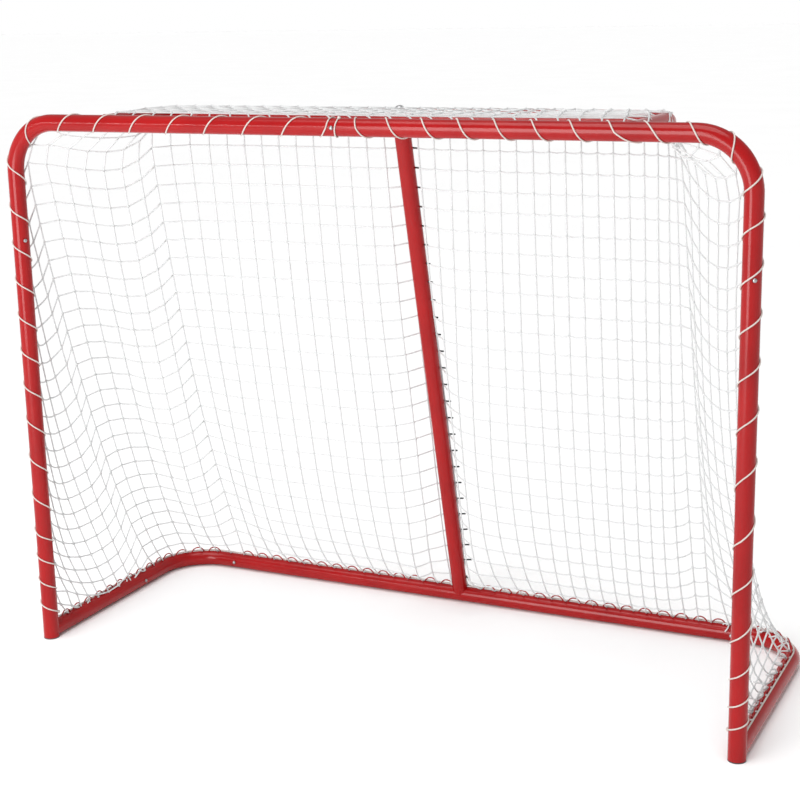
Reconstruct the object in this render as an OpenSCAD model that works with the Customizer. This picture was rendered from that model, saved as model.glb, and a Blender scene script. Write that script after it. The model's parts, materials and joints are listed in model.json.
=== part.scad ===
// Street hockey goal: take-apart steel tube frame with a laced twine net.
// Mouth faces -Y, +Z is up, the floor is z = 0, units are millimetres.

/* [Frame] */
// distance between the two post axes
post_gap = 1340; // [1000:10:1900]
// overall height of the frame
goal_h = 1000; // [700:5:1300]
// distance from the front frame axis to the rear rail axis
goal_depth = 482; // [300:2:800]
// centreline radius of the upper front corners
front_bend_r = 88; // [60:1:160]
// centreline radius of the rear base corners
base_bend_r = 100; // [60:1:160]

/* [Tube] */
// outside diameter of the frame tube
tube_d = 30; // [25:1:50]
// wall thickness of the frame tube
tube_wall = 1.5; // [1:0.1:3]
// how far a reduced tube end reaches into the next tube
neck_len = 60; // [40:1:100]
// gap on the radius between a reduced end and the tube round it
neck_gap = 0.3; // [0.2:0.05:0.6]

/* [Joints between tubes] */
// height of the seam in each post
post_seam_z = 789; // [500:1:900]
// distance of the side rail seam behind the front frame
side_seam_y = 316; // [200:1:360]
// distance of the rear rail seams from the middle
rear_seam_x = 557; // [400:1:570]
// distance of a snap button from its seam
button_in = 16; // [12:1:30]

/* [Top shelf] */
// half the distance between the shelf arms
shelf_half = 480; // [300:5:600]
// distance of the shelf bar behind the crossbar
shelf_depth = 245; // [150:5:400]
// centreline radius of the shelf corners
shelf_bend_r = 60; // [50:1:120]

/* [Centre support] */
// sideways place of the centre support
support_x = -16; // [-60:1:60]

/* [Snap buttons] */
// diameter of a snap button
button_d = 6.4; // [5:0.2:10]
// height of a snap button above the tube
button_out = 3; // [2:0.5:6]
// gap round a snap button in its hole
button_gap = 0.4; // [0.3:0.05:0.8]
// thickness of the leaf spring
leaf_t = 0.6; // [0.4:0.1:1]
// width of the leaf spring
leaf_w = 8; // [5:0.5:10]

/* [Net] */
// thickness of a net panel
net_t = 2; // [1.5:0.5:4]
// diameter of the lacing twine
lace_d = 2.4; // [2:0.2:4]
// distance of the lacing twine axis from the tube axis
lace_r = 17; // [16.5:0.1:18]
// diameter of the rope along the bottom edge of the net
hem_d = 3; // [2:0.5:6]
// pitch of the wire hooks on the base tubes
hook_pitch = 36; // [25:1:60]
// wire diameter of the hooks
hook_wire = 2.4; // [2:0.2:4]
// half the width of a hook
hook_half = 13; // [8:0.5:16]
// height of a hook above its tube
hook_rise = 9; // [6:0.5:12]

/* [Small parts] */
// thickness of the foot cap under the post
cap_t = 2; // [1.5:0.5:4]
// length of the foot cap plug
cap_plug = 20; // [10:1:30]
// diameter of the support bolt
bolt_d = 8; // [6:1:10]
// diameter of the support bolt head
bolt_head_d = 18; // [14:1:24]
// height of the support bolt head
bolt_head_h = 5; // [3:0.5:8]
// length of the support bolt below its head
bolt_len = 62; // [50:1:90]
// length of the threaded plug in the support tube
plug_len = 20; // [15:1:30]

/* [Hidden] */

red = [0.74, 0.14, 0.13];
zinc = [0.75, 0.76, 0.78];
black = [0.12, 0.12, 0.13];
white = [0.93, 0.93, 0.91];
tube_r = tube_d / 2;
bore_d = tube_d - 2 * tube_wall;
neck_d = bore_d - 2 * neck_gap;
neck_bore = neck_d - 2 * tube_wall;
half_w = post_gap / 2;
front_y = -goal_depth / 2;
rear_y = goal_depth / 2;
bar_z = goal_h - tube_r;
base_z = tube_r;
side_seam = front_y + side_seam_y;
shelf_y = front_y + shelf_depth;
stub_y = front_y + tube_r + 3;
stub_reach = 80;
shoulder = 4;
button_hole_d = button_d + 2 * button_gap;

// Every plug-in joint: seam point, button direction, direction of the reduced end.
J_BAR = [[0, front_y, bar_z], [0, -1, 0], [-1, 0, 0]];
J_POST_L = [[-half_w, front_y, post_seam_z], [sin(65), -cos(65), 0], [0, 0, -1]];
J_POST_R = [[half_w, front_y, post_seam_z], [sin(30), -cos(30), 0], [0, 0, -1]];
J_SIDE_L = [[-half_w, side_seam, base_z], [1, 0, 0], [0, -1, 0]];
J_SIDE_R = [[half_w, side_seam, base_z], [-1, 0, 0], [0, -1, 0]];
J_CORNER_L = [[-rear_seam_x, rear_y, base_z], [0, -1, 0], [1, 0, 0]];
J_CORNER_R = [[rear_seam_x, rear_y, base_z], [0, -1, 0], [-1, 0, 0]];
J_REAR = [[0, rear_y, base_z], [0, 1, 0], [1, 0, 0]];
J_SHELF_L = [[-shelf_half, stub_y, bar_z], [0, 0, -1], [0, 1, 0]];
J_SHELF_R = [[shelf_half, stub_y, bar_z], [0, 0, -1], [0, 1, 0]];

// Centre support line, from the rear rail axis up to the shelf bar axis.
sup_foot = [support_x, rear_y, base_z];
sup_top = [support_x, shelf_y, bar_z];
sup_len = norm(sup_top - sup_foot);
sup_dir = (sup_top - sup_foot) / sup_len;
sup_back = cross(sup_dir, [1, 0, 0]);
peg_len = 75;
J_SUPPORT = [sup_foot + sup_dir * tube_r, sup_back, sup_dir];
support_button_in = 14;

function unit(v) = v / norm(v);
function frame(p, x, z) = let (y = cross(z, x)) [
    [x[0], y[0], z[0], p[0]],
    [x[1], y[1], z[1], p[1]],
    [x[2], y[2], z[2], p[2]],
    [0, 0, 0, 1]
];
function side_of(z) = abs(z[2]) < 0.9 ? unit(cross([0, 0, 1], z)) : [1, 0, 0];

module at_joint(j) {
    multmatrix(frame(j[0], j[1], j[2])) children();
}

// Straight rod of diameter d from p along the unit direction dir.
module run(p, dir, len, d) {
    multmatrix(frame(p, side_of(dir), dir)) cylinder(d = d, h = len, $fn = 48);
}

// Quarter bend from +X to +Y about the origin.
module quarter(r, d) {
    rotate_extrude(angle = 90, $fn = 96) translate([r, 0]) circle(d = d, $fn = 48);
}

// Reduced end that plugs into the next tube, with its button hole.
module neck(j, len, inset) {
    at_joint(j) difference() {
        union() {
            cylinder(d = neck_d, h = len, $fn = 48);
            translate([0, 0, -shoulder]) cylinder(d = tube_d - tube_wall, h = shoulder, $fn = 48);
        }
        translate([0, 0, -shoulder - 1]) cylinder(d = neck_bore, h = len + shoulder + 2, $fn = 48);
        translate([0, 0, inset]) button_hole();
    }
}

module button_hole() {
    rotate([0, 90, 0]) cylinder(d = button_hole_d, h = tube_d, $fn = 32);
}

module hole_at(j, inset) {
    at_joint(j) translate([0, 0, inset]) button_hole();
}

// ---- front frame ----
module bar_path(d, over) {
    leg = bar_z - front_bend_r - post_seam_z;
    run([-over, front_y, bar_z], [1, 0, 0], half_w - front_bend_r + over, d);
    translate([half_w - front_bend_r, front_y, bar_z - front_bend_r])
        rotate([90, 0, 0]) quarter(front_bend_r, d);
    run([half_w, front_y, post_seam_z - over], [0, 0, 1], leg + over, d);
}

module bar_half() {
    difference() {
        bar_path(tube_d, 0);
        bar_path(bore_d, 1);
    }
}

module crossbar_right() {
    color(red) {
        bar_half();
        neck(J_BAR, neck_len, button_in);
        neck(J_POST_R, neck_len, button_in);
    }
}

module crossbar_left() {
    color(red) {
        difference() {
            mirror([1, 0, 0]) bar_half();
            hole_at(J_BAR, button_in);
        }
        neck(J_POST_L, neck_len, button_in);
    }
}

module post(side, j) {
    color(red) difference() {
        run([side * half_w, front_y, cap_t], [0, 0, 1], post_seam_z - cap_t, tube_d);
        run([side * half_w, front_y, 0], [0, 0, 1], post_seam_z + 1, bore_d);
        hole_at(j, button_in);
    }
}

module post_left() {
    post(-1, J_POST_L);
}

module post_right() {
    post(1, J_POST_R);
}

module foot_cap(side) {
    color(black) translate([side * half_w, front_y, 0]) difference() {
        union() {
            cylinder(d = tube_d, h = cap_t, $fn = 48);
            cylinder(d = bore_d - 0.1, h = cap_plug, $fn = 48);
        }
        translate([0, 0, cap_t]) cylinder(d = bore_d - 5, h = cap_plug, $fn = 48);
    }
}

module foot_cap_left() {
    foot_cap(-1);
}

module foot_cap_right() {
    foot_cap(1);
}

// ---- base frame ----
module side_rail(side, j) {
    color(red) difference() {
        run([side * half_w, front_y, base_z], [0, 1, 0], side_seam_y, tube_d);
        run([side * half_w, front_y - 1, base_z], [0, 1, 0], side_seam_y + 2, bore_d);
        run([side * half_w, front_y, -1], [0, 0, 1], tube_d + 2, tube_d);
        hole_at(j, button_in);
    }
}

module side_rail_left() {
    side_rail(-1, J_SIDE_L);
}

module side_rail_right() {
    side_rail(1, J_SIDE_R);
}

module corner_path(d, over) {
    straight_y = goal_depth - base_bend_r - side_seam_y;
    straight_x = half_w - base_bend_r - rear_seam_x;
    run([half_w, side_seam - over, base_z], [0, 1, 0], straight_y + over, d);
    translate([half_w - base_bend_r, rear_y - base_bend_r, base_z]) quarter(base_bend_r, d);
    run([rear_seam_x - over, rear_y, base_z], [1, 0, 0], straight_x + over, d);
}

module corner_tube() {
    difference() {
        corner_path(tube_d, 0);
        corner_path(bore_d, 1);
    }
}

module base_corner_right() {
    color(red) {
        corner_tube();
        neck(J_SIDE_R, neck_len, button_in);
        neck(J_CORNER_R, neck_len, button_in);
    }
}

module base_corner_left() {
    color(red) {
        mirror([1, 0, 0]) corner_tube();
        neck(J_SIDE_L, neck_len, button_in);
        neck(J_CORNER_L, neck_len, button_in);
    }
}

module rear_rail_left() {
    color(red) {
        difference() {
            run([-rear_seam_x, rear_y, base_z], [1, 0, 0], rear_seam_x, tube_d);
            run([-rear_seam_x - 1, rear_y, base_z], [1, 0, 0], rear_seam_x + 2, bore_d);
            hole_at(J_CORNER_L, button_in);
        }
        neck(J_REAR, neck_len, button_in);
    }
}

module rear_rail_right() {
    color(red) difference() {
        run([0, rear_y, base_z], [1, 0, 0], rear_seam_x, tube_d);
        run([-1, rear_y, base_z], [1, 0, 0], rear_seam_x + 2, bore_d);
        hole_at(J_CORNER_R, button_in);
        hole_at(J_REAR, button_in);
    }
}

// ---- top shelf ----
module shelf_path(d, over) {
    arm = shelf_y - shelf_bend_r - stub_y;
    bar = shelf_half - shelf_bend_r;
    for (s = [0, 1]) mirror([s, 0, 0]) {
        run([shelf_half, stub_y - over, bar_z], [0, 1, 0], arm + over, d);
        translate([bar, shelf_y - shelf_bend_r, bar_z]) quarter(shelf_bend_r, d);
    }
    run([-bar, shelf_y, bar_z], [1, 0, 0], 2 * bar, d);
}

module shelf_bar() {
    color(red) difference() {
        shelf_path(tube_d, 0);
        shelf_path(bore_d, 1);
        hole_at(J_SHELF_L, button_in);
        hole_at(J_SHELF_R, button_in);
        run(sup_top - sup_dir * tube_d, sup_dir, 2 * tube_d, bolt_d + 0.8);
    }
}

// Short tube welded to the back of the crossbar, which the shelf arm slides over.
module shelf_stub(side, j) {
    color(red) difference() {
        run([side * shelf_half, front_y, bar_z], [0, 1, 0], stub_reach, neck_d);
        run([side * shelf_half, front_y - 1, bar_z], [0, 1, 0], stub_reach + 2, neck_bore);
        run([side * shelf_half - tube_d, front_y, bar_z], [1, 0, 0], 2 * tube_d, tube_d);
        hole_at(j, button_in);
    }
}

module shelf_stub_left() {
    shelf_stub(-1, J_SHELF_L);
}

module shelf_stub_right() {
    shelf_stub(1, J_SHELF_R);
}

// ---- centre support ----
module center_support() {
    color(red) difference() {
        run(sup_foot, sup_dir, sup_len, tube_d);
        run(sup_foot - sup_dir, sup_dir, sup_len + 2, bore_d);
        run(sup_foot - [tube_d, 0, 0], [1, 0, 0], 2 * tube_d, tube_d);
        run(sup_top - [tube_d, 0, 0], [1, 0, 0], 2 * tube_d, tube_d);
        hole_at(J_SUPPORT, support_button_in);
    }
}

// Peg welded to the rear rail inside the foot of the support.
module support_peg() {
    color(red) difference() {
        run(sup_foot, sup_dir, peg_len, neck_d);
        run(sup_foot - sup_dir, sup_dir, peg_len + 2, neck_bore);
        run(sup_foot - [tube_d, 0, 0], [1, 0, 0], 2 * tube_d, tube_d);
        hole_at(J_SUPPORT, support_button_in);
    }
}

module support_plug() {
    color(zinc) difference() {
        run(sup_top - sup_dir * (tube_r + plug_len + 10), sup_dir, plug_len, bore_d);
        run(sup_top - sup_dir * (tube_r + plug_len + 12), sup_dir, plug_len + 4, bolt_d);
    }
}

module support_bolt() {
    color(zinc) {
        run(sup_top + sup_dir * (tube_r - bolt_len), sup_dir, bolt_len, bolt_d);
        multmatrix(frame(sup_top + sup_dir * tube_r, [1, 0, 0], sup_dir)) bolt_head();
    }
}

// Low domed head, a slice of a ball.
module bolt_head() {
    ball_r = (pow(bolt_head_d / 2, 2) + pow(bolt_head_h, 2)) / (2 * bolt_head_h);
    intersection() {
        translate([0, 0, bolt_head_h - ball_r]) sphere(r = ball_r, $fn = 64);
        cylinder(d = 2 * bolt_head_d, h = bolt_head_h, $fn = 48);
    }
}

// ---- snap buttons ----
// Button along +X: flange inside the reduced end, round pin, ball-shaped tip.
module button(j, inset) {
    flange_r = 5.5;
    flange_x = 8.7;
    flange_t = 1.2;
    tip_x = tube_r + button_out;
    color(zinc) at_joint(j) translate([0, 0, inset]) rotate([0, 90, 0]) {
        translate([0, 0, flange_x]) cylinder(r = flange_r, h = flange_t, $fn = 32);
        intersection() {
            translate([0, 0, flange_x]) cylinder(d = button_d, h = tip_x - flange_x, $fn = 32);
            translate([0, 0, tip_x - button_d * 0.7]) sphere(r = button_d * 0.7, $fn = 64);
        }
        translate([0, 0, flange_x]) cylinder(d = button_d, h = tip_x - flange_x - button_out, $fn = 32);
    }
}

// Bent strip spring under the button, open end towards the seam.
module leaf(j, inset) {
    top = 8.7;
    low = -5.2;
    reach = 26;
    color(zinc) at_joint(j) translate([0, 0, inset]) rotate([90, 0, 0])
        translate([0, 0, -leaf_w / 2]) linear_extrude(height = leaf_w) polygon([
            [top, -6], [top, 6], [2.4, reach], [1, reach + 1], [-0.4, reach], [low, 2], [low, -2],
            [low + leaf_t, -2], [low + leaf_t, 2], [0.4, reach - 1], [1, reach - 0.5], [1.6, reach - 1],
            [top - leaf_t, 5.8], [top - leaf_t, -6]
        ]);
}

module button_crossbar() {
    button(J_BAR, button_in);
}

module button_post_left() {
    button(J_POST_L, button_in);
}

module button_post_right() {
    button(J_POST_R, button_in);
}

module button_side_left() {
    button(J_SIDE_L, button_in);
}

module button_side_right() {
    button(J_SIDE_R, button_in);
}

module button_corner_left() {
    button(J_CORNER_L, button_in);
}

module button_corner_right() {
    button(J_CORNER_R, button_in);
}

module button_rear() {
    button(J_REAR, button_in);
}

module button_shelf_left() {
    button(J_SHELF_L, button_in);
}

module button_shelf_right() {
    button(J_SHELF_R, button_in);
}

module button_support() {
    button(J_SUPPORT, support_button_in);
}

module leaf_crossbar() {
    leaf(J_BAR, button_in);
}

module leaf_post_left() {
    leaf(J_POST_L, button_in);
}

module leaf_post_right() {
    leaf(J_POST_R, button_in);
}

module leaf_side_left() {
    leaf(J_SIDE_L, button_in);
}

module leaf_side_right() {
    leaf(J_SIDE_R, button_in);
}

module leaf_corner_left() {
    leaf(J_CORNER_L, button_in);
}

module leaf_corner_right() {
    leaf(J_CORNER_R, button_in);
}

module leaf_rear() {
    leaf(J_REAR, button_in);
}

module leaf_shelf_left() {
    leaf(J_SHELF_L, button_in);
}

module leaf_shelf_right() {
    leaf(J_SHELF_R, button_in);
}

module leaf_support() {
    leaf(J_SUPPORT, support_button_in);
}

// ---- net hooks and hem rope ----
// Wire arch standing on top of a tube, in the plane of the tube.
module hook() {
    arch_r = (hook_half * hook_half + hook_rise * hook_rise) / (2 * hook_rise);
    reach = asin(hook_half / arch_r) + 3.5;
    translate([0, 0, tube_r + hook_rise - arch_r]) rotate([90, 0, 0]) rotate([0, 0, 90 - reach])
        rotate_extrude(angle = 2 * reach, $fn = 48) translate([arch_r, 0]) circle(d = hook_wire, $fn = 16);
}

module hooks() {
    rear_start = 46;
    side_start = 48;
    rear_count = floor((rear_seam_x - rear_start - hook_half) / hook_pitch);
    side_count = floor((goal_depth - base_bend_r - side_start) / hook_pitch);
    for (i = [0 : rear_count])
        translate([rear_start + i * hook_pitch, rear_y, base_z]) hook();
    for (i = [0 : side_count])
        translate([half_w, front_y + side_start + i * hook_pitch, base_z]) rotate([0, 0, 90]) hook();
    for (a = [12, 33, 54, 75])
        translate([half_w - base_bend_r, rear_y - base_bend_r, base_z]) rotate([0, 0, a])
            translate([base_bend_r - 0.6, 0, 0]) rotate([0, 0, 90]) hook();
}

module net_hooks_right() {
    color(red) hooks();
}

module net_hooks_left() {
    color(red) mirror([1, 0, 0]) hooks();
}

// Closed tube round a list of rings, all rings of equal length.
module skin(rings) {
    n = len(rings[0]);
    m = len(rings);
    points = [for (ring = rings) each ring];
    walls = [for (i = [0 : m - 2]) for (k = [0 : n - 1]) let (q = (k + 1) % n, a = i * n, b = a + n)
        each [[a + k, a + q, b + q], [a + k, b + q, b + k]]];
    first = [[for (k = [n - 1 : -1 : 0]) k]];
    last = [[for (k = [0 : n - 1]) (m - 1) * n + k]];
    polyhedron(points = points, faces = concat(walls, first, last), convexity = 10);
}

// Rings across a path of points; up is any direction that is never along the path.
function tube_rings(path, r, sides, up) = [
    for (i = [0 : len(path) - 1])
        let (a = path[max(i - 1, 0)], b = path[min(i + 1, len(path) - 1)])
        let (t = unit(b - a), u = unit(cross(up, t)), v = cross(t, u))
        [for (k = [0 : sides - 1]) path[i] + r * (cos(360 * k / sides) * u - sin(360 * k / sides) * v)]
];

// The rope lies on the outer side of the hooks and bows round the back of the centre support.
hem_off = hook_wire / 2 + hem_d / 2 + 0.8;
hem_z = base_z + sqrt(pow(tube_r, 2) - pow(hem_off, 2)) + hem_d / 2 + 0.4;
hem_bow = [[24, 0], [18, 1.5], [12, 6], [6, 9.2], [0, 9.9], [-6, 9.2], [-12, 6], [-18, 1.5], [-24, 0]];
hem_bend = base_bend_r + hem_off;
function hem_half(s) = [
    for (y = [front_y + 30, rear_y - base_bend_r]) [s * (half_w + hem_off), y, hem_z],
    for (a = [6 : 6 : 84])
        [s * (half_w - base_bend_r + hem_bend * cos(a)), rear_y - base_bend_r + hem_bend * sin(a), hem_z],
    [s * (half_w - base_bend_r), rear_y + hem_off, hem_z]
];

module hem_rope() {
    right = hem_half(1);
    left = hem_half(-1);
    middle = [for (p = hem_bow) [support_x + p[0], rear_y + hem_off + p[1], hem_z]];
    path = concat(right, middle, [for (i = [len(left) - 1 : -1 : 0]) left[i]]);
    color(white) skin(tube_rings(path, hem_d / 2, 10, [0, 0, 1]));
}

// ---- lacing ----
straight_end = half_w - front_bend_r;
bend_end = straight_end + front_bend_r * PI / 2;
// centreline of the right half of the front frame at length s from its middle
function bar_point(s) =
    s < straight_end ? [s, front_y, bar_z] :
    s < bend_end ? [straight_end + front_bend_r * sin(bend_angle(s)), front_y,
        bar_z - front_bend_r + front_bend_r * cos(bend_angle(s))] :
    [half_w, front_y, bar_z - front_bend_r - (s - bend_end)];
function bend_angle(s) = (s - straight_end) / (bend_end - straight_end) * 90;
function bar_normal(s) =
    s < straight_end ? [0, 0, 1] :
    s < bend_end ? [sin(bend_angle(s)), 0, cos(bend_angle(s))] :
    [1, 0, 0];
function lace_out(s, turns) = cos(360 * turns) * bar_normal(s) + sin(360 * turns) * [0, -1, 0];
function lace_point(s, turns) = bar_point(s) + lace_r * lace_out(s, turns);

// length along the frame and number of turns there, for each half
turns_right = [
    [14, -0.25], [29, 0.25], [461, 7.25], [497, 7.52], [501, 7.98], [523, 8.25], [585, 9.25], [768, 12.25],
    [1064, 16.25], [1148, 17.25], [1247, 18.25], [1325, 19.25], [1406, 20.25], [1470, 21.25], [1519, 22.25],
    [1567, 23.5]
];
turns_left = [
    [6, -0.95], [25, 0.25], [552, 7.25], [792, 10.25], [1187, 16.25], [1335, 18.25], [1406, 19.25],
    [1550, 22.25], [1567, 22.6]
];
lace_steps = 14;

module lacing(table) {
    first = table[0];
    last = table[len(table) - 1];
    steps = round((last[1] - first[1]) * lace_steps);
    inverse = [for (row = table) [row[1], row[0]]];
    path = [for (i = [0 : steps])
        let (turns = first[1] + (last[1] - first[1]) * i / steps)
        lace_point(lookup(turns, inverse), turns)];
    color(white) skin(lace_rings(path, table));
}

function lace_rings(path, table) = [
    for (i = [0 : len(path) - 1])
        let (a = path[max(i - 1, 0)], b = path[min(i + 1, len(path) - 1)])
        let (t = unit(b - a), turns = table[0][1] + i / lace_steps)
        let (s = lookup(turns, [for (row = table) [row[1], row[0]]]))
        let (out = unit(path[i] - bar_point(s)), u = unit(cross(out, t)), v = cross(t, u))
        [for (k = [0 : 7]) path[i] + lace_d / 2 * (cos(45 * k) * u - sin(45 * k) * v)]
];

module lacing_right() {
    lacing(turns_right);
}

module lacing_left() {
    mirror([1, 0, 0]) lacing(turns_left);
}

// ---- net panels ----
// Thin flat panel between four corners that lie in one plane.
module panel(corners, t) {
    n = unit(cross(corners[1] - corners[0], corners[2] - corners[0]));
    c = len(corners);
    points = concat([for (p = corners) p + n * t / 2], [for (p = corners) p - n * t / 2]);
    walls = [for (k = [0 : c - 1]) let (q = (k + 1) % c) [k, q, c + q, c + k]];
    faces = concat([[for (k = [c - 1 : -1 : 0]) k]], [[for (k = [0 : c - 1]) c + k]], walls);
    polyhedron(points = points, faces = faces, convexity = 4);
}

net_front = front_y + tube_r + 4.5;
net_bar_z = bar_z + tube_r + net_t;
net_low = base_z + tube_r + 27;
net_back_top = [shelf_y + 19, net_bar_z - 12];
net_back_low = [rear_y + 8, net_low];
net_heel_x = half_w - base_bend_r + 22;

module net_top() {
    color(white) panel([
        [-straight_end, net_front, net_bar_z], [straight_end, net_front, net_bar_z],
        [shelf_half, shelf_y - 14, net_bar_z], [-shelf_half, shelf_y - 14, net_bar_z]
    ], net_t);
}

module net_back() {
    color(white) panel([
        [-shelf_half, net_back_top[0], net_back_top[1]], [shelf_half, net_back_top[0], net_back_top[1]],
        [net_heel_x, net_back_low[0], net_back_low[1]], [-net_heel_x, net_back_low[0], net_back_low[1]]
    ], net_t);
}

// Side of the net: post, side rail, rear corner and shelf corner, folded along one line.
module net_side() {
    top = [half_w, net_front, bar_z - front_bend_r - 20];
    low = [half_w, net_front, net_low];
    heel = [half_w - 8, rear_y - base_bend_r, net_low];
    corner = [half_w - 34, rear_y - 30, net_low];
    toe = [net_heel_x + 4, rear_y, net_low];
    shelf = [shelf_half + 22, shelf_y, net_bar_z - 14];
    bar_end = [straight_end + 6, net_front, bar_z + 6];
    panel([top, low, heel], net_t);
    panel([top, heel, shelf], net_t);
    panel([heel, corner, shelf], net_t);
    panel([corner, toe, shelf], net_t);
    panel([top, shelf, bar_end], net_t);
}

module net_right() {
    color(white) net_side();
}

module net_left() {
    color(white) mirror([1, 0, 0]) net_side();
}

crossbar_left();
crossbar_right();
post_left();
post_right();
foot_cap_left();
foot_cap_right();
side_rail_left();
side_rail_right();
base_corner_left();
base_corner_right();
rear_rail_left();
rear_rail_right();
shelf_bar();
shelf_stub_left();
shelf_stub_right();
center_support();
support_peg();
support_plug();
support_bolt();
button_crossbar();
button_post_left();
button_post_right();
button_side_left();
button_side_right();
button_corner_left();
button_corner_right();
button_rear();
button_shelf_left();
button_shelf_right();
button_support();
leaf_crossbar();
leaf_post_left();
leaf_post_right();
leaf_side_left();
leaf_side_right();
leaf_corner_left();
leaf_corner_right();
leaf_rear();
leaf_shelf_left();
leaf_shelf_right();
leaf_support();
net_hooks_left();
net_hooks_right();
hem_rope();
net_top();
net_back();
net_left();
net_right();
lacing_left();
lacing_right();
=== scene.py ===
import json
import math

import bmesh
import bpy
import numpy as np
from mathutils import Matrix, Vector


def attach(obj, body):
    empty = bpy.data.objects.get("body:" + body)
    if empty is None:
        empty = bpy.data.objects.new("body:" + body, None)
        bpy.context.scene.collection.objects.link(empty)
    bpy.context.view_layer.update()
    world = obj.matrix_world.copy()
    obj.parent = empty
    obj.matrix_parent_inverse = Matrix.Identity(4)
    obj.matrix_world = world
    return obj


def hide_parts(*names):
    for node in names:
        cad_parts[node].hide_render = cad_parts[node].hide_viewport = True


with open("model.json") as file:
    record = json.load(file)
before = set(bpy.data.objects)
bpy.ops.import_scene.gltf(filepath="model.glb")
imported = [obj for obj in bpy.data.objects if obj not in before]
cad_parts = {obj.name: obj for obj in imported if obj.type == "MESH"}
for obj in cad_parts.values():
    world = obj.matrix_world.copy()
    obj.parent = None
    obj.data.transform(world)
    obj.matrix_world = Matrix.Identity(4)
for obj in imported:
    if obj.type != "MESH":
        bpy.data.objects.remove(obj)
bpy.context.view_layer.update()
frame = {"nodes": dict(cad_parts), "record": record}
NODES = frame["nodes"]

# ---- sizes of the object, in metres ----
HALF_W = 0.670
FRONT_Y = -0.241
REAR_Y = 0.241
BAR_Z = 0.985
BASE_Z = 0.015
TUBE_R = 0.015
FRONT_BEND = 0.088
BASE_BEND = 0.100
SHELF_HALF = 0.480
SHELF_Y = FRONT_Y + 0.245
SHELF_BEND = 0.060
SUPPORT_X = -0.016
HEM_Z = 0.0315
# offsets from the middle of the hooks, outward: the rope, and the net's lowest knots
HEM_OFF = 0.0035
HEM_INSIDE = -0.004

# ---- camera ----
CAMERA_AT = (1.2283, -2.5959, 1.1834)
CAMERA_YAW = 25.804
CAMERA_PITCH = 13.851
CAMERA_ROLL = -1.243
LENS_MM = 73.03
SENSOR_MM = 36


def make_camera():
    """The camera, turned by yaw, pitch and roll in degrees."""
    yaw, pitch, roll = (math.radians(v) for v in (CAMERA_YAW, CAMERA_PITCH, CAMERA_ROLL))
    forward = Vector((
        -math.sin(yaw) * math.cos(pitch),
        math.cos(yaw) * math.cos(pitch),
        -math.sin(pitch)))
    level = Vector((math.cos(yaw), math.sin(yaw), 0))
    up = level.cross(forward)
    right = level * math.cos(roll) + up * math.sin(roll)
    top = up * math.cos(roll) - level * math.sin(roll)
    data = bpy.data.cameras.new("camera")
    data.sensor_width = SENSOR_MM
    data.lens = LENS_MM
    camera = bpy.data.objects.new("camera", data)
    bpy.context.scene.collection.objects.link(camera)
    rotation = Matrix((right, top, -forward)).transposed().to_4x4()
    camera.matrix_world = Matrix.Translation(CAMERA_AT) @ rotation
    bpy.context.scene.camera = camera


make_camera()


# ---- materials ----
def new_material(name):
    """A material with its node tree and its shader."""
    material = bpy.data.materials.new(name)
    material.use_nodes = True
    tree = material.node_tree
    return material, tree, tree.nodes["Principled BSDF"]


def add(tree, kind, **sockets):
    """A node with the given values on its sockets."""
    node = tree.nodes.new(kind)
    for key, value in sockets.items():
        node.inputs[key].default_value = value
    return node


def noise(tree, scale, detail=3.0, roughness=0.55):
    """Noise over the object, as a grey value."""
    place = add(tree, "ShaderNodeTexCoord")
    texture = add(tree, "ShaderNodeTexNoise", Scale=scale, Detail=detail, Roughness=roughness)
    tree.links.new(place.outputs["Object"], texture.inputs["Vector"])
    return texture.outputs["Fac"]


def ramp(tree, source, stops):
    """Turns a grey value into a colour; stops holds pairs of place and colour."""
    node = tree.nodes.new("ShaderNodeValToRGB")
    elements = node.color_ramp.elements
    while len(elements) < len(stops):
        elements.new(0.5)
    for element, (at, colour) in zip(elements, stops):
        element.position = at
        element.color = (*colour, 1)
    tree.links.new(source, node.inputs["Fac"])
    return node.outputs["Color"]


def spread(tree, source, low, high):
    """Spreads a grey value over the range from low to high."""
    node = add(tree, "ShaderNodeMapRange")
    node.inputs["To Min"].default_value = low
    node.inputs["To Max"].default_value = high
    tree.links.new(source, node.inputs["Value"])
    return node.outputs["Result"]


def bump(tree, shader, source, strength, distance):
    """Raises the surface by a grey value."""
    node = add(tree, "ShaderNodeBump", Strength=strength, Distance=distance)
    tree.links.new(source, node.inputs["Height"])
    tree.links.new(node.outputs["Normal"], shader.inputs["Normal"])


def red_paint():
    """Glossy powder coat: slight orange peel, faint cloudiness, small dull rub marks."""
    material, tree, shader = new_material("red_powder_coat")
    cloud = noise(tree, 9.0, 4.0)
    colour = ramp(tree, cloud, [
        (0.3, (0.27, 0.003, 0.004)),
        (0.5, (0.31, 0.004, 0.005)),
        (0.72, (0.34, 0.005, 0.006))])
    tree.links.new(colour, shader.inputs["Base Color"])
    rub = noise(tree, 60.0, 6.0, 0.7)
    tree.links.new(spread(tree, rub, 0.1, 0.22), shader.inputs["Roughness"])
    shader.inputs["Specular IOR Level"].default_value = 0.28
    bump(tree, shader, noise(tree, 420.0, 2.0), 0.12, 0.0006)
    return material


def zinc():
    """Zinc plate: pale metal with fine blotches and a brushed grain."""
    material, tree, shader = new_material("zinc_plate")
    blotch = noise(tree, 160.0, 5.0, 0.6)
    colour = ramp(tree, blotch, [
        (0.3, (0.3, 0.3, 0.31)),
        (0.55, (0.42, 0.42, 0.43)),
        (0.8, (0.5, 0.5, 0.49))])
    tree.links.new(colour, shader.inputs["Base Color"])
    shader.inputs["Metallic"].default_value = 1.0
    tree.links.new(spread(tree, noise(tree, 500.0, 4.0), 0.22, 0.48), shader.inputs["Roughness"])
    bump(tree, shader, noise(tree, 900.0, 3.0), 0.15, 0.0003)
    return material


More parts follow.
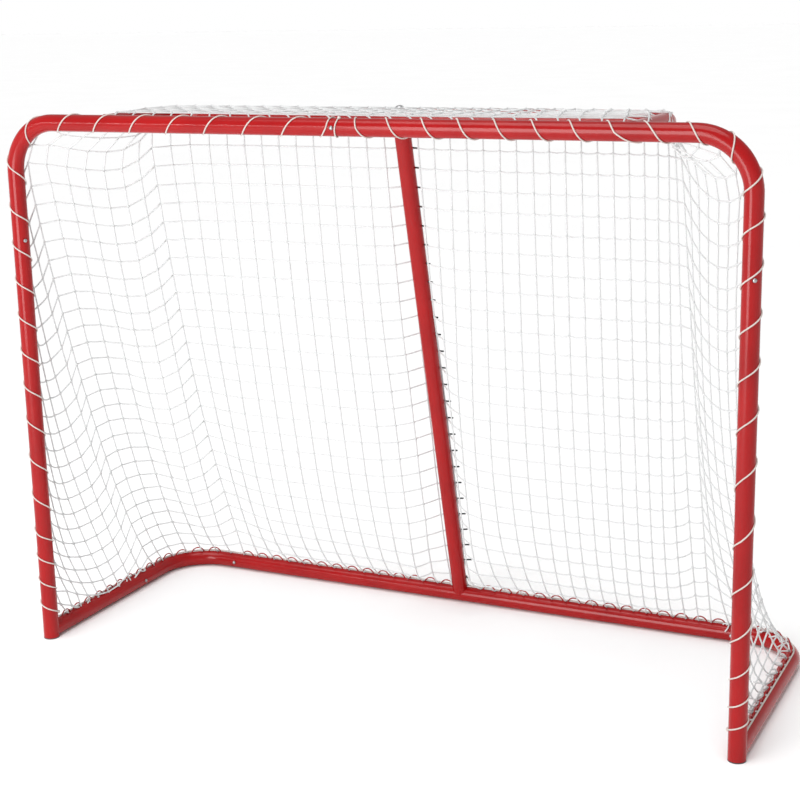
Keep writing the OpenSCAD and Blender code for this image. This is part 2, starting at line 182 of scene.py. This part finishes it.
def black_plastic():
    """Moulded plastic: near black, with a fine pebbled grain and dusty high spots."""
    material, tree, shader = new_material("moulded_plastic")
    dust = noise(tree, 220.0, 5.0)
    colour = ramp(tree, dust, [(0.35, (0.012, 0.012, 0.013)), (0.7, (0.035, 0.035, 0.036))])
    tree.links.new(colour, shader.inputs["Base Color"])
    tree.links.new(spread(tree, noise(tree, 90.0, 4.0), 0.45, 0.7), shader.inputs["Roughness"])
    bump(tree, shader, noise(tree, 1400.0, 2.0), 0.35, 0.0004)
    return material


def twine(name, pale, groove_shade, strands):
    """White polyester twine. The twist runs along the U coordinate laid along each cord; the darker
    part of each twist band is painted shade for the grooves between the strands.
    """
    material, tree, shader = new_material(name)
    place = add(tree, "ShaderNodeTexCoord")
    wave = add(tree, "ShaderNodeTexWave", Scale=strands, Distortion=1.2, Detail=1.0)
    wave.wave_type = "BANDS"
    wave.bands_direction = "DIAGONAL"
    tree.links.new(place.outputs["UV"], wave.inputs["Vector"])
    # the darker colour is painted shade for the grooves between the twisted strands
    colour = ramp(tree, wave.outputs["Fac"], [(0.1, groove_shade), (0.55, pale), (1.0, pale)])
    fibre = ramp(tree, noise(tree, 700.0, 4.0), [(0.3, (0.86, 0.86, 0.85)), (0.6, (1, 1, 1))])
    mix = tree.nodes.new("ShaderNodeMix")
    mix.data_type = "RGBA"
    mix.blend_type = "MULTIPLY"
    mix.inputs["Factor"].default_value = 1.0
    tree.links.new(colour, mix.inputs["A"])
    tree.links.new(fibre, mix.inputs["B"])
    tree.links.new(mix.outputs["Result"], shader.inputs["Base Color"])
    tree.links.new(spread(tree, wave.outputs["Fac"], 0.85, 0.65), shader.inputs["Roughness"])
    shader.inputs["Sheen Weight"].default_value = 0.25
    shader.inputs["Sheen Roughness"].default_value = 0.4
    bump(tree, shader, wave.outputs["Fac"], 0.6, 0.0006)
    return material


RED = red_paint()
ZINC = zinc()
BLACK = black_plastic()
# the darker second colour of each twine is painted shade in the grooves of its twist
NET_TWINE = twine("net_twine", (0.78, 0.79, 0.79), (0.58, 0.59, 0.6), 2.0)
LACE_TWINE = twine("lacing_twine", (0.74, 0.66, 0.62), (0.5, 0.43, 0.4), 2.0)
MATERIAL_OF_SLOT = {"red_paint": RED, "zinc_steel": ZINC, "black_plastic": BLACK}
SHARP_ANGLE = 35


def finish_cad_nodes():
    """Gives the rigid pieces their material and smooth shading; sharp edges stay sharp."""
    for entry in frame["record"]["subparts"]:
        material = MATERIAL_OF_SLOT.get(entry["material_slot"])
        if material is None:
            continue
        mesh = NODES[entry["node"]].data
        mesh.materials.clear()
        mesh.materials.append(material)
        mesh.shade_smooth()
        mesh.set_sharp_from_angle(angle=math.radians(SHARP_ANGLE))


finish_cad_nodes()


# ---- cords as swept tubes ----
# directions that no cord runs along for long, to start the rings from
RING_HINT = [0.31, 0.22, 0.92]
SPARE_RING_HINT = [1.0, 0.0, 0.1]
# radii of cord for one step of U
TWIST_LENGTH = 6
# a knot's size along, across and out of the net, in knot radii
KNOT_SHAPE = (1.35, 1.0, 1.1)


def tube_mesh(paths, radius, sides):
    """One mesh of many swept tubes. Each path is an (n, 3) array; UV runs along and round it."""
    verts, faces, uvs = [], [], []
    turn = np.arange(sides) * 2 * math.pi / sides
    for path in paths:
        path = np.asarray(path, float)
        tangent = np.gradient(path, axis=0)
        tangent /= np.linalg.norm(tangent, axis=1)[:, None]
        normal = np.cross(tangent[0], RING_HINT)
        if np.linalg.norm(normal) < 0.2:
            normal = np.cross(tangent[0], SPARE_RING_HINT)
        length = np.concatenate([[0], np.cumsum(np.linalg.norm(np.diff(path, axis=0), axis=1))])
        first = len(verts)
        for k, (point, ahead) in enumerate(zip(path, tangent)):
            normal = normal - ahead * np.dot(normal, ahead)
            normal /= np.linalg.norm(normal)
            side = np.cross(ahead, normal)
            ring = point + radius * (np.cos(turn)[:, None] * normal + np.sin(turn)[:, None] * side)
            verts.extend(ring.tolist())
            if k == 0:
                continue
            low, high = first + (k - 1) * sides, first + k * sides
            for s in range(sides):
                t = (s + 1) % sides
                faces.append((low + s, low + t, high + t, high + s))
                u0, u1 = length[k - 1] / radius / TWIST_LENGTH, length[k] / radius / TWIST_LENGTH
                v0, v1 = s / sides, (s + 1) / sides
                uvs.append(((u0, v0), (u0, v1), (u1, v1), (u1, v0)))
        last = first + (len(path) - 1) * sides
        faces.append(tuple(first + s for s in reversed(range(sides))))
        faces.append(tuple(last + s for s in range(sides)))
        uvs.append(((0, 0),) * sides)
        uvs.append(((0, 0),) * sides)
    return verts, faces, uvs


def add_knots(part, points, lays, size):
    """Adds small lumpy knots to (verts, faces, uvs), each with the two directions of its twines."""
    verts, faces, uvs = part
    ball = bmesh.new()
    bmesh.ops.create_icosphere(ball, subdivisions=2, radius=1)
    ball_verts = np.array([v.co[:] for v in ball.verts])
    ball_faces = [tuple(v.index for v in f.verts) for f in ball.faces]
    ball.free()
    long, wide, thick = KNOT_SHAPE
    for at, (a, b) in zip(points, lays):
        out = np.cross(a, b)
        out /= max(np.linalg.norm(out), 1e-6)
        diagonal = a + b
        diagonal /= max(np.linalg.norm(diagonal), 1e-6)
        across = np.cross(out, diagonal)
        first = len(verts)
        moved = ball_verts[:, :1] * diagonal * long
        moved = moved + ball_verts[:, 1:2] * across * wide
        moved = moved + ball_verts[:, 2:] * out * thick
        verts.extend((at + size * moved).tolist())
        for face in ball_faces:
            faces.append(tuple(first + v for v in face))
            uvs.append(tuple((ball_verts[v][0], ball_verts[v][1] * 0.5) for v in face))


def merge(part, other):
    """Adds one (verts, faces, uvs) to another."""
    first = len(part[0])
    part[0].extend(other[0])
    part[1].extend(tuple(first + v for v in face) for face in other[1])
    part[2].extend(other[2])


def make_piece(name, part, material, node):
    """A piece of the object that replaces a CAD node and rides on the frame."""
    verts, faces, uvs = part
    mesh = bpy.data.meshes.new(name)
    mesh.from_pydata(verts, [], faces)
    layer = mesh.uv_layers.new(name="along")
    flat = [value for face in uvs for uv in face for value in uv]
    layer.data.foreach_set("uv", np.array(flat, dtype=np.float32))
    mesh.shade_smooth()
    mesh.materials.append(material)
    obj = bpy.data.objects.new(name, mesh)
    bpy.context.scene.collection.objects.link(obj)
    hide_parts(node)
    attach(obj, "frame")
    return obj


# ---- routes of the net's edges on the frame ----
# the net's edge lies this far inside the tube's surface, above the crossbar's middle line,
# and behind the shelf bar's middle line
EDGE_SINK = 0.001
EDGE_RISE = 0.006
SHELF_EDGE = 0.008
# where the net's and the rope's lower edges start behind the posts
NET_START_Y = FRONT_Y + 0.018
ROPE_START_Y = FRONT_Y + 0.030


def along(points, lengths):
    """Points at the given lengths along a polyline."""
    points = np.asarray(points, float)
    run = np.concatenate([[0], np.cumsum(np.linalg.norm(np.diff(points, axis=0), axis=1))])
    return np.stack([np.interp(lengths, run, points[:, k]) for k in range(3)], axis=-1)


def total_length(points):
    """Length of a polyline."""
    return float(np.linalg.norm(np.diff(np.asarray(points, float), axis=0), axis=1).sum())


def arc(centre, radius, start, end, plane, steps=16):
    """Points on an arc; plane holds the two unit directions of angle 0 and 90."""
    a, b = (np.array(v, float) for v in plane)
    angles = np.radians(np.linspace(start, end, steps + 1))
    return [np.array(centre) + radius * (math.cos(t) * a + math.sin(t) * b) for t in angles]


def hem_route(start_y, offset):
    """Along the hooks, from the right post to the middle of the rear rail."""
    corner = [HALF_W - BASE_BEND, REAR_Y - BASE_BEND, HEM_Z]
    route = [np.array([HALF_W + offset, start_y, HEM_Z])]
    route += arc(corner, BASE_BEND + offset, 0, 90, ([1, 0, 0], [0, 1, 0]))
    route.append(np.array([0, REAR_Y + offset, HEM_Z]))
    return route


def front_route():
    """On the rear side of the front frame, from the middle of the crossbar to the right foot."""
    y = FRONT_Y + TUBE_R - EDGE_SINK
    corner = [HALF_W - FRONT_BEND, y, BAR_Z - FRONT_BEND]
    route = [np.array([0, y, BAR_Z + EDGE_RISE])]
    route += arc(corner, FRONT_BEND, 90, 0, ([1, 0, 0], [0, 0, 1]))
    route.append(np.array([HALF_W - EDGE_SINK, y, HEM_Z]))
    return route


def shelf_route():
    """Over the shelf bar, from its middle round the bend to the right arm."""
    radius = SHELF_BEND + SHELF_EDGE
    top = BAR_Z + TUBE_R - EDGE_SINK
    middle_y = SHELF_Y - SHELF_BEND
    route = [np.array([0, middle_y + radius, top])]
    route += arc([SHELF_HALF - SHELF_BEND, middle_y, top], radius, 90, 0, ([1, 0, 0], [0, 1, 0]))
    return route


# ---- the net: one sheet of square mesh, hung by its edges ----
MESH = 0.036
NET_TWINE_R = 0.0014
NET_TWINE_SIDES = 6
KNOT_R = NET_TWINE_R * 1.6
# meshes across the middle sheet, back over the shelf, and down to the hem
COLUMNS = 33
TOP_ROWS = 7
BACK_ROWS = 28
ROWS = TOP_ROWS + BACK_ROWS
# columns of a side at the shelf and those added on the way down, the length of their
# meshes, and the shortest piece of a mesh that still ends in a knot of its own
SIDE_TOP = 7
SIDE_EXTRA = 10
SIDE_REST = 0.96 * MESH
SHORTEST_STUB = 0.25
# half the front edge that the middle sheet takes, what stays free at the foot, and how the
# rows are spread down the post: below 1 they lie closer at the foot
CORNER_LENGTH = 0.612
POST_FREE = 0.008
POST_POWER = 0.78
# the columns lie closer on the right than on the left; the middle sheet's half width and
# shift at the hem
SKEW = 0.22
HEM_HALF = 0.511
HEM_SHIFT = -0.011
# the right side is drawn tighter than the left
RIGHT_GATHER = 0.16
RIGHT_DRAFT = 2.0
RIGHT_FROM_X = 0.5
# hanging: twine folded to less than FOLDED of its length is gently pushed open
GRAVITY = 9.8
TIME_STEP = 0.005
STEPS = 160
ROUNDS = 30
DAMPING = 0.94
FOLDED = 0.55
FOLD_STIFFNESS = 0.25
CLEARANCE = 0.0003
SUPPORT_MARGIN = 1.03
DROOP = 0.36
DROOP_STEPS = 4
# loose ends at the right hem, and dark sleeves painted as the shadow the centre support casts on
# the back's rows just right of it
TAILS_PER_KNOT = 3
TAIL_STEPS = 5
TAIL_SEED = 5
SHADE_SLEEVE_START = 0.007
SHADE_SLEEVE_LENGTH = 0.018
SHADE_SLEEVE_R = 0.0016
SHADE_SLEEVE_SIDES = 8
SHADE_SLEEVE_SLOPE = 0.6


class Net:
    """Knots, the twine between them, and whole twines grouped by the panel they belong to."""

    def __init__(self):
        self.at = []
        self.pinned = []
        self.edges = []
        self.rest = []
        self.twines = {"top": [], "back": [], "left": [], "right": []}
        self.right_hem = []

    def knot(self, point, pinned=False):
        self.at.append(np.array(point, float))
        self.pinned.append(pinned)
        return len(self.at) - 1

    def twine(self, panel, knots, rests):
        self.twines[panel].append((list(knots), list(rests)))
        self.edges += list(zip(knots[:-1], knots[1:]))
        self.rest += list(rests)


def mirrored(point, side):
    """The point itself for side 1, or its mirror image in the middle plane for side -1."""
    return point * np.array([side, 1, 1])


def hem_point(column, offset):
    """Place on the hem of a column counted from the middle, left negative."""
    side = 1 if column > 0 else -1
    route = hem_route(NET_START_Y, offset)
    length = total_length(route)
    across = column / (COLUMNS / 2)
    if abs(across) <= 1:
        x = HEM_SHIFT + HEM_HALF * (across + SKEW / 2 * (1 - across * across))
        point = mirrored(along(route, length - abs(x)), 1 if x > 0 else -1)
        return behind_support(point[None])[0]
    seam = length - HEM_HALF - side * HEM_SHIFT
    share = (COLUMNS / 2 + SIDE_TOP + SIDE_EXTRA - abs(column)) / (SIDE_TOP + SIDE_EXTRA)
    return mirrored(along(route, seam * share), side)


def lash(net, panel, knot, column):
    """A short twine from a knot inside the hooks, through them, to the rope outside."""
    rope = net.knot(hem_point(column, HEM_OFF), True)
    if panel == "right":
        net.right_hem.append(knot)
    net.twine(panel, [knot, rope], [HEM_OFF - HEM_INSIDE])


def middle_sheet(net):
    """Knots of the top panel and the back: rows 0 to 7 lie over the shelf, the rest hang."""
    knots = np.zeros((COLUMNS + 1, ROWS + 1), int)
    shelf = shelf_route()
    shelf_length = total_length(shelf)
    for i in range(COLUMNS + 1):
        column = i - COLUMNS / 2
        across = column / (COLUMNS / 2)
        spot = across + SKEW / 2 * (1 - across * across)
        side = 1 if spot > 0 else -1
        bar = mirrored(along(front_route(), CORNER_LENGTH * abs(spot)), side)
        top = mirrored(along(shelf, shelf_length * abs(spot)), side)
        low = hem_point(column, HEM_INSIDE)
        for j in range(ROWS + 1):
            if j <= TOP_ROWS:
                point = bar + (top - bar) * j / TOP_ROWS
            else:
                point = top + (low - top) * (j - TOP_ROWS) / BACK_ROWS
            knots[i, j] = net.knot(point, j in (0, TOP_ROWS, ROWS))
        net.twine("top", knots[i, :TOP_ROWS + 1], [MESH] * TOP_ROWS)
        net.twine("back", knots[i, TOP_ROWS:], [MESH] * BACK_ROWS)
        lash(net, "back", knots[i, ROWS], column)
    for j in range(ROWS):
        net.twine("top" if j <= TOP_ROWS else "back", knots[:, j], [MESH] * COLUMNS)
    return knots


def side_sheet(net, edge, side):
    """Columns between the middle sheet's edge and a post; they end on the post one by one."""
    panel = "right" if side > 0 else "left"
    front = front_route()
    post_length = total_length(front) - POST_FREE - CORNER_LENGTH
    knots = {(k, TOP_ROWS): edge[TOP_ROWS - k] for k in range(SIDE_TOP + 1)}
    tips = {TOP_ROWS: edge[0]}
    width = {TOP_ROWS: SIDE_TOP}
    for j in range(TOP_ROWS + 1, ROWS + 1):
        down = (j - TOP_ROWS) / BACK_ROWS
        tip = mirrored(along(front, CORNER_LENGTH + post_length * down ** POST_POWER), side)
        start = net.at[edge[j]]
        width[j] = SIDE_TOP + SIDE_EXTRA * down
        last = math.floor(width[j] - SHORTEST_STUB)
        for k in range(1, last + 1):
            column = side * (COLUMNS / 2 + k)
            if j == ROWS:
                knots[k, j] = net.knot(hem_point(column, HEM_INSIDE), True)
                lash(net, panel, knots[k, j], column)
            else:
                knots[k, j] = net.knot(start + (tip - start) * k / width[j])
        tips[j] = net.knot(tip, True)
        if j < ROWS:
            row = [edge[j]] + [knots[k, j] for k in range(1, last + 1)] + [tips[j]]
            rest = SIDE_REST * (1 - RIGHT_GATHER * math.sin(math.pi * down) if side > 0 else 1)
            net.twine(panel, row, [rest] * last + [(width[j] - last) * rest])
    for k in range(1, SIDE_TOP + SIDE_EXTRA + 1):
        rows = [j for j in range(TOP_ROWS, ROWS + 1) if (k, j) in knots]
        if not rows:
            continue
        column = [knots[k, j] for j in rows]
        rests = [MESH] * (len(column) - 1)
        if k > SIDE_TOP:
            above = rows[0] - 1
            column.insert(0, tips[above])
            rests.insert(0, math.hypot(MESH, (k - width[above]) * MESH))
        net.twine(panel, column, rests)
    border = [tips[j] for j in range(TOP_ROWS, ROWS + 1)]
    net.twines[panel].append((border, [MESH] * BACK_ROWS))


def batches(edges, count):
    """Splits the edges into batches in which no knot occurs twice."""
    used = [set() for _ in range(count)]
    found = []
    for e, (a, b) in enumerate(edges):
        c = 0
        while c in used[a] or c in used[b]:
            c += 1
        used[a].add(c)
        used[b].add(c)
        if len(found) <= c:
            found.append([])
        found[c].append(e)
    return [np.array(batch) for batch in found]


def off_the_shelf(p):
    """Keeps knots out of a slab with the outline of the shelf bar and its arms."""
    x = np.abs(p[:, 0]) - (SHELF_HALF - SHELF_BEND)
    y = p[:, 1] - (SHELF_Y - SHELF_BEND)
    out = np.hypot(np.maximum(x, 0), np.maximum(y, 0))
    edge = out + np.minimum(np.maximum(x, y), 0) - SHELF_BEND
    safe = np.maximum(out, 1e-9)
    to_x = np.where(out > 1e-9, np.maximum(x, 0) / safe, (x > y) * 1.0) * np.sign(p[:, 0])
    to_y = np.where(out > 1e-9, np.maximum(y, 0) / safe, (x <= y) * 1.0)
    reach = np.maximum(edge, 0)
    rise = p[:, 2] - BAR_Z
    near = np.maximum(np.hypot(reach, rise), 1e-9)
    need = np.where(p[:, 1] > FRONT_Y + TUBE_R, TUBE_R + NET_TWINE_R + CLEARANCE - near, 0)
    need = np.maximum(need, 0)
    p[:, 0] += need * reach / near * to_x
    p[:, 1] += need * reach / near * to_y
    p[:, 2] += need * np.where(edge > 0, rise / near, 1.0)
    return p


def behind_support(p):
    """Keeps knots behind the leaning centre support."""
    axis_y = SHELF_Y + (BAR_Z - p[:, 2]) * (REAR_Y - SHELF_Y) / (BAR_Z - BASE_Z)
    aside = p[:, 0] - SUPPORT_X
    reach = TUBE_R + NET_TWINE_R + CLEARANCE
    depth = np.sqrt(np.maximum(reach ** 2 - aside ** 2, 0)) * SUPPORT_MARGIN
    hidden = (np.abs(aside) < reach) & (p[:, 2] < BAR_Z)
    p[:, 1] = np.where(hidden, np.maximum(p[:, 1], axis_y + depth), p[:, 1])
    return p


def hang(net):
    """Lets the net hang: twine may go slack but not stretch. Returns the knots' places."""
    at = np.array(net.at)
    free = ~np.array(net.pinned)
    weight = free.astype(float)[:, None]
    edges = np.array(net.edges)
    rest = np.array(net.rest)[:, None]
    groups = []
    for batch in batches(net.edges, len(at)):
        a, b = edges[batch, 0], edges[batch, 1]
        both = np.maximum(weight[a] + weight[b], 1e-9)
        groups.append((a, b, rest[batch], weight[a], weight[b], both))
    velocity = np.zeros_like(at)
    for _ in range(STEPS):
        velocity[:, 2] -= GRAVITY * TIME_STEP
        velocity[:, 0] -= np.where(at[:, 0] > RIGHT_FROM_X, RIGHT_DRAFT, 0) * TIME_STEP
        velocity *= DAMPING
        before = at.copy()
        at = at + velocity * TIME_STEP * weight
        for _ in range(ROUNDS):
            for a, b, length, free_a, free_b, both in groups:
                gap = at[b] - at[a]
                now = np.sqrt((gap ** 2).sum(1, keepdims=True))
                over = np.maximum(now - length, 0)
                over = over + FOLD_STIFFNESS * np.minimum(now - FOLDED * length, 0)
                push = gap * (over / np.maximum(now, 1e-9) / both)
                at[a] += push * free_a
                at[b] -= push * free_b
            at[free] = behind_support(off_the_shelf(at[free]))
        velocity = (at - before) / TIME_STEP
    return at


def drooping(points, rests):
    """A twine through its knots; where it is slack it droops between them."""
    path = []
    for a, b, rest in zip(points[:-1], points[1:], rests):
        slack = math.sqrt(max(rest ** 2 - float(((b - a) ** 2).sum()), 0))
        for k in range(DROOP_STEPS):
            t = k / DROOP_STEPS
            path.append(a + (b - a) * t - np.array([0, 0, DROOP * slack * t * (1 - t)]))
    path.append(points[-1])
    return np.array(path)


def loose_ends(net, at):
    """Short curled ends of twine at the knots along the right side's hem; steps are in mm."""
    random = np.random.default_rng(TAIL_SEED)
    paths = []
    for knot in net.right_hem * TAILS_PER_KNOT:
        step = random.uniform((-3, -3, 0), (0, 3, 4)) / 1000
        path = [at[knot]]
        for _ in range(TAIL_STEPS):
            path.append(path[-1] + step)
            step = step + random.uniform((-1.4, -1.6, -2), (1, 1.6, 0.6)) / 1000
        paths.append(np.array(path))
    return paths


def support_shade_sleeves(net, at):
    """Painted shadow: dark sleeves on the rows of the back, just right of the centre support, where
    its shade falls on the twine.
    """
    edge = SUPPORT_X + SHADE_SLEEVE_START
    paths = []
    for knots, _ in net.twines["back"]:
        for a, b in zip(at[knots[:-1]], at[knots[1:]]):
            if a[0] < edge <= b[0] and abs(b[2] - a[2]) < SHADE_SLEEVE_SLOPE * (b[0] - a[0]):
                start = a + (b - a) * (edge - a[0]) / (b[0] - a[0])
                end = start + (b - a) / np.linalg.norm(b - a) * SHADE_SLEEVE_LENGTH
                paths.append(np.array([start, end]))
    return paths


def crossings(twines, at):
    """Knots where two twines cross, each with the directions of those twines."""
    lays_of = {}
    for knots, _ in twines:
        for before, knot, after in zip(knots[:-2], knots[1:-1], knots[2:]):
            lay = at[after] - at[before]
            lays_of.setdefault(knot, []).append(lay / max(np.linalg.norm(lay), 1e-9))
    return {knot: lays[:2] for knot, lays in lays_of.items() if len(lays) > 1}


def make_net():
    """The whole net hangs as one sheet and is then split into its four panels."""
    net = Net()
    middle = middle_sheet(net)
    side_sheet(net, middle[0], -1)
    side_sheet(net, middle[COLUMNS], 1)
    at = hang(net)
    for panel, twines in net.twines.items():
        paths = [drooping(at[knots], rests) for knots, rests in twines]
        if panel == "right":
            paths += loose_ends(net, at)
        part = tube_mesh(paths, NET_TWINE_R, NET_TWINE_SIDES)
        crossed = crossings(twines, at)
        add_knots(part, [at[knot] for knot in crossed], crossed.values(), KNOT_R)
        white_faces = len(part[1])
        # black sleeves on the back's rows: painted shadow of the centre support
        if panel == "back":
            merge(part, tube_mesh(support_shade_sleeves(net, at), SHADE_SLEEVE_R, SHADE_SLEEVE_SIDES))
        piece = make_piece(f"net_{panel}_twine", part, NET_TWINE, f"net_{panel}")
        # the second material blackens those sleeves as painted shadow
        piece.data.materials.append(BLACK)
        for polygon in piece.data.polygons[white_faces:]:
            polygon.material_index = 1


make_net()

# ---- lacing and hem rope ----
LACE_R = 0.0012
LACE_SIDES = 8
LACE_RINGS_PER_TURN = 28
END_KNOT = 0.0028
# the bend of the front frame, as lengths from its middle
STRAIGHT_END = HALF_W - FRONT_BEND
BEND_END = STRAIGHT_END + FRONT_BEND * math.pi / 2
# length along the frame from its middle, and turns there
TURNS_RIGHT = [
    (0.014, -0.25), (0.029, 0.25), (0.461, 7.25), (0.497, 7.52), (0.501, 7.98), (0.523, 8.25),
    (0.585, 9.25), (0.768, 12.25), (1.064, 16.25), (1.148, 17.25), (1.247, 18.25), (1.325, 19.25),
    (1.406, 20.25), (1.470, 21.25), (1.519, 22.25), (1.567, 23.5)]
TURNS_LEFT = [
    (0.006, -0.95), (0.025, 0.25), (0.552, 7.25), (0.792, 10.25), (1.187, 16.25), (1.335, 18.25),
    (1.406, 19.25), (1.550, 22.25), (1.567, 22.6)]


def bar_point(s):
    """Centreline of the right half of the front frame, and its outward direction."""
    if s < STRAIGHT_END:
        return np.array([s, FRONT_Y, BAR_Z]), np.array([0.0, 0, 1])
    if s < BEND_END:
        angle = (s - STRAIGHT_END) / FRONT_BEND
        out = np.array([math.sin(angle), 0, math.cos(angle)])
        centre = np.array([STRAIGHT_END, FRONT_Y, BAR_Z - FRONT_BEND])
        return centre + FRONT_BEND * out, out
    return np.array([HALF_W, FRONT_Y, BAR_Z - FRONT_BEND - (s - BEND_END)]), np.array([1.0, 0, 0])


def lacing(name, table, side, node):
    """Twine wound round one half of the front frame, with a small knot at each end."""
    lengths, turns = zip(*table)
    steps = int((turns[-1] - turns[0]) * LACE_RINGS_PER_TURN)
    forward = np.array([0, -1, 0])
    path = []
    for turn in np.linspace(turns[0], turns[-1], steps + 1):
        centre, out = bar_point(float(np.interp(turn, turns, lengths)))
        angle = 2 * math.pi * turn
        point = centre + (TUBE_R + LACE_R) * (math.cos(angle) * out + math.sin(angle) * forward)
        path.append(mirrored(point, side))
    part = tube_mesh([path], LACE_R, LACE_SIDES)
    ends = [(path[0], path[1] - path[0]), (path[-1], path[-1] - path[-2])]
    lays = [(lay / np.linalg.norm(lay), np.array([0.0, 0, 1])) for _, lay in ends]
    add_knots(part, [at for at, _ in ends], lays, END_KNOT)
    make_piece(name, part, LACE_TWINE, node)


lacing("lacing_right_twine", TURNS_RIGHT, 1, "lacing_right")
lacing("lacing_left_twine", TURNS_LEFT, -1, "lacing_left")


ROPE_STRANDS = 3
ROPE_PITCH = 0.011
ROPE_STEPS_PER_PITCH = 8
STRAND_R = 0.00082
STRAND_SIDES = 6
STRAND_OFFSET = 0.00078
# places along x and outward of a bow in the rope
ROPE_BOW = [(0.024, 0), (0.018, 0.0015), (0.012, 0.006), (0.006, 0.0092), (0, 0.0099)]


def twisted_rope(path):
    """Strands laid round a common path."""
    length = total_length(path)
    steps = int(length / ROPE_PITCH * ROPE_STEPS_PER_PITCH)
    fine = along(path, np.linspace(0, length, steps + 1))
    tangent = np.gradient(fine, axis=0)
    tangent /= np.linalg.norm(tangent, axis=1)[:, None]
    up = np.array([0.0, 0, 1])
    side = np.cross(tangent, up)
    side /= np.linalg.norm(side, axis=1)[:, None]
    top = np.cross(side, tangent)
    twist = np.linspace(0, length, steps + 1) / ROPE_PITCH * 2 * math.pi
    laid = []
    for k in range(ROPE_STRANDS):
        angle = (twist + 2 * math.pi * k / ROPE_STRANDS)[:, None]
        laid.append(fine + STRAND_OFFSET * (np.cos(angle) * side + np.sin(angle) * top))
    return laid


def hem_rope():
    """Round the outer side of the hooks, with a bow behind the foot of the centre support."""
    right = hem_route(ROPE_START_Y, HEM_OFF)[:-1]
    left = [mirrored(point, -1) for point in right]
    bow = ROPE_BOW + [(-x, y) for x, y in reversed(ROPE_BOW[:-1])]
    middle = [np.array([SUPPORT_X + x, REAR_Y + HEM_OFF + y, HEM_Z]) for x, y in bow]
    part = tube_mesh(twisted_rope(right + middle + left[::-1]), STRAND_R, STRAND_SIDES)
    make_piece("hem_rope_twine", part, LACE_TWINE, "hem_rope")


hem_rope()


# ---- floor and light ----
FLOOR_HALF = 60


def make_floor():
    """A plain pale floor."""
    corners = [(-1, -1), (1, -1), (1, 1), (-1, 1)]
    mesh = bpy.data.meshes.new("floor")
    mesh.from_pydata([(x * FLOOR_HALF, y * FLOOR_HALF, 0) for x, y in corners], [], [(0, 1, 2, 3)])
    material, tree, shader = new_material("pale_floor")
    tone = ramp(tree, noise(tree, 1.5), [(0.3, (0.93, 0.93, 0.93)), (0.7, (0.95, 0.95, 0.95))])
    tree.links.new(tone, shader.inputs["Base Color"])
    shader.inputs["Roughness"].default_value = 0.9
    shader.inputs["Specular IOR Level"].default_value = 0.1
    mesh.materials.append(material)
    floor = bpy.data.objects.new("floor", mesh)
    bpy.context.scene.collection.objects.link(floor)


def area_light(name, at, target, size, power):
    """A rectangular light that faces its target."""
    data = bpy.data.lights.new(name, "AREA")
    data.shape = "RECTANGLE"
    data.size, data.size_y = size
    data.energy = power
    light = bpy.data.objects.new(name, data)
    bpy.context.scene.collection.objects.link(light)
    light.location = at
    light.rotation_euler = (Vector(target) - Vector(at)).to_track_quat("-Z", "Y").to_euler()


def make_light():
    """Bright haze at the horizon under a dim sky, a soft sun, a softbox and a strip."""
    world = bpy.data.worlds.new("studio")
    world.use_nodes = True
    tree = world.node_tree
    place = add(tree, "ShaderNodeTexCoord")
    split = add(tree, "ShaderNodeSeparateXYZ")
    tree.links.new(place.outputs["Generated"], split.inputs["Vector"])
    sky = ramp(tree, split.outputs["Z"], [
        (0.0, (1, 1, 1)),
        (0.05, (1, 1, 1)),
        (0.3, (0.5, 0.5, 0.5))])
    tree.links.new(sky, tree.nodes["Background"].inputs["Color"])
    bpy.context.scene.world = world
    sun = bpy.data.lights.new("soft_sun", "SUN")
    sun.energy = 1.8
    sun.angle = math.radians(50)
    light = bpy.data.objects.new("soft_sun", sun)
    bpy.context.scene.collection.objects.link(light)
    light.rotation_euler = Vector((0.2, 0.6, -2.4)).to_track_quat("-Z", "Y").to_euler()
    area_light("softbox", (-0.67, -3.0, 1.0), (-0.67, 0, 0.9), (1.5, 1.9), 60)
    area_light("strip", (-2.2, -2.6, 1.25), (-2.2, 0, 1.2), (1.8, 0.06), 12)
    bpy.context.scene.view_settings.view_transform = "Standard"


make_floor()
make_light()
